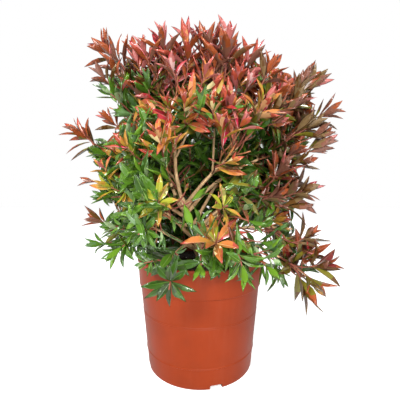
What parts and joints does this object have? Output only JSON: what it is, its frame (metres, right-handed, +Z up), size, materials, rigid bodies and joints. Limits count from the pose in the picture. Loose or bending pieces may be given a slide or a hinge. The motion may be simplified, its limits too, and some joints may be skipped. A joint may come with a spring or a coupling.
{
  "type": "potted bottlebrush shrub",
  "caption": "Bushy potted bottlebrush shrub with narrow pointed leaves, red new growth over green, in a tapered terracotta-coloured plastic nursery pot.",
  "frame": {"origin": "middle of the pot's flat underside", "axes": "+Z up, -Y towards the side the picture shows, +X to the right in the picture"},
  "size_m": [0.4875, 0.3889, 0.5977],
  "materials": {
    "terracotta_plastic": "semi-matte moulded plastic",
    "potting_soil": "loose dark peat and bark with white grains",
    "old_bark": "finely fissured tan bark",
    "young_bark": "smooth orange-tan bark",
    "new_leaves": "satin leaf, red and bronze new growth",
    "turning_leaves": "satin leaf, orange to yellow-green",
    "green_leaves": "satin leaf, mid to dark green"
  },
  "bodies": {
    "root": {"bough_back_left": "young_bark", "bough_back_low_left": "young_bark", "bough_back_low_right": "young_bark", "bough_back_mid": "young_bark", "bough_back_right": "young_bark", "bough_back_top": "young_bark", "bough_foot_left": "young_bark", "bough_foot_right": "young_bark", "bough_front_left": "young_bark", "bough_front_low_left": "young_bark", "bough_front_low_right": "young_bark", "bough_front_right": "young_bark", "bough_front_top": "young_bark", "bough_left": "young_bark", "bough_left_low": "young_bark", "bough_left_mid": "young_bark", "bough_left_upper": "young_bark", "bough_right": "young_bark", "bough_right_foot": "young_bark", "bough_right_low": "young_bark", "bough_right_mid": "young_bark", "bough_right_upper": "young_bark", "bough_top_left": "young_bark", "bough_top_mid_left": "young_bark", "bough_top_mid_right": "young_bark", "bough_top_right": "young_bark", "foliage_back_left": "turning_leaves", "foliage_back_low_left": "green_leaves", "foliage_back_low_right": "green_leaves", "foliage_back_mid": "turning_leaves", "foliage_back_right": "turning_leaves", "foliage_back_top": "new_leaves", "foliage_foot_left": "green_leaves", "foliage_foot_right": "green_leaves", "foliage_front_left": "turning_leaves", "foliage_front_low_left": "green_leaves", "foliage_front_low_right": "green_leaves", "foliage_front_right": "turning_leaves", "foliage_front_top": "turning_leaves", "foliage_inner_left": "turning_leaves", "foliage_inner_right": "turning_leaves", "foliage_left": "new_leaves", "foliage_left_low": "green_leaves", "foliage_left_mid": "green_leaves", "foliage_left_upper": "new_leaves", "foliage_right": "new_leaves", "foliage_right_foot": "green_leaves", "foliage_right_low": "green_leaves", "foliage_right_mid": "green_leaves", "foliage_right_upper": "new_leaves", "foliage_top_left": "new_leaves", "foliage_top_mid_left": "new_leaves", "foliage_top_mid_right": "new_leaves", "foliage_top_right": "new_leaves", "pot": "terracotta_plastic", "soil": "potting_soil", "trunk": "old_bark"}
  },
  "joints": []
}
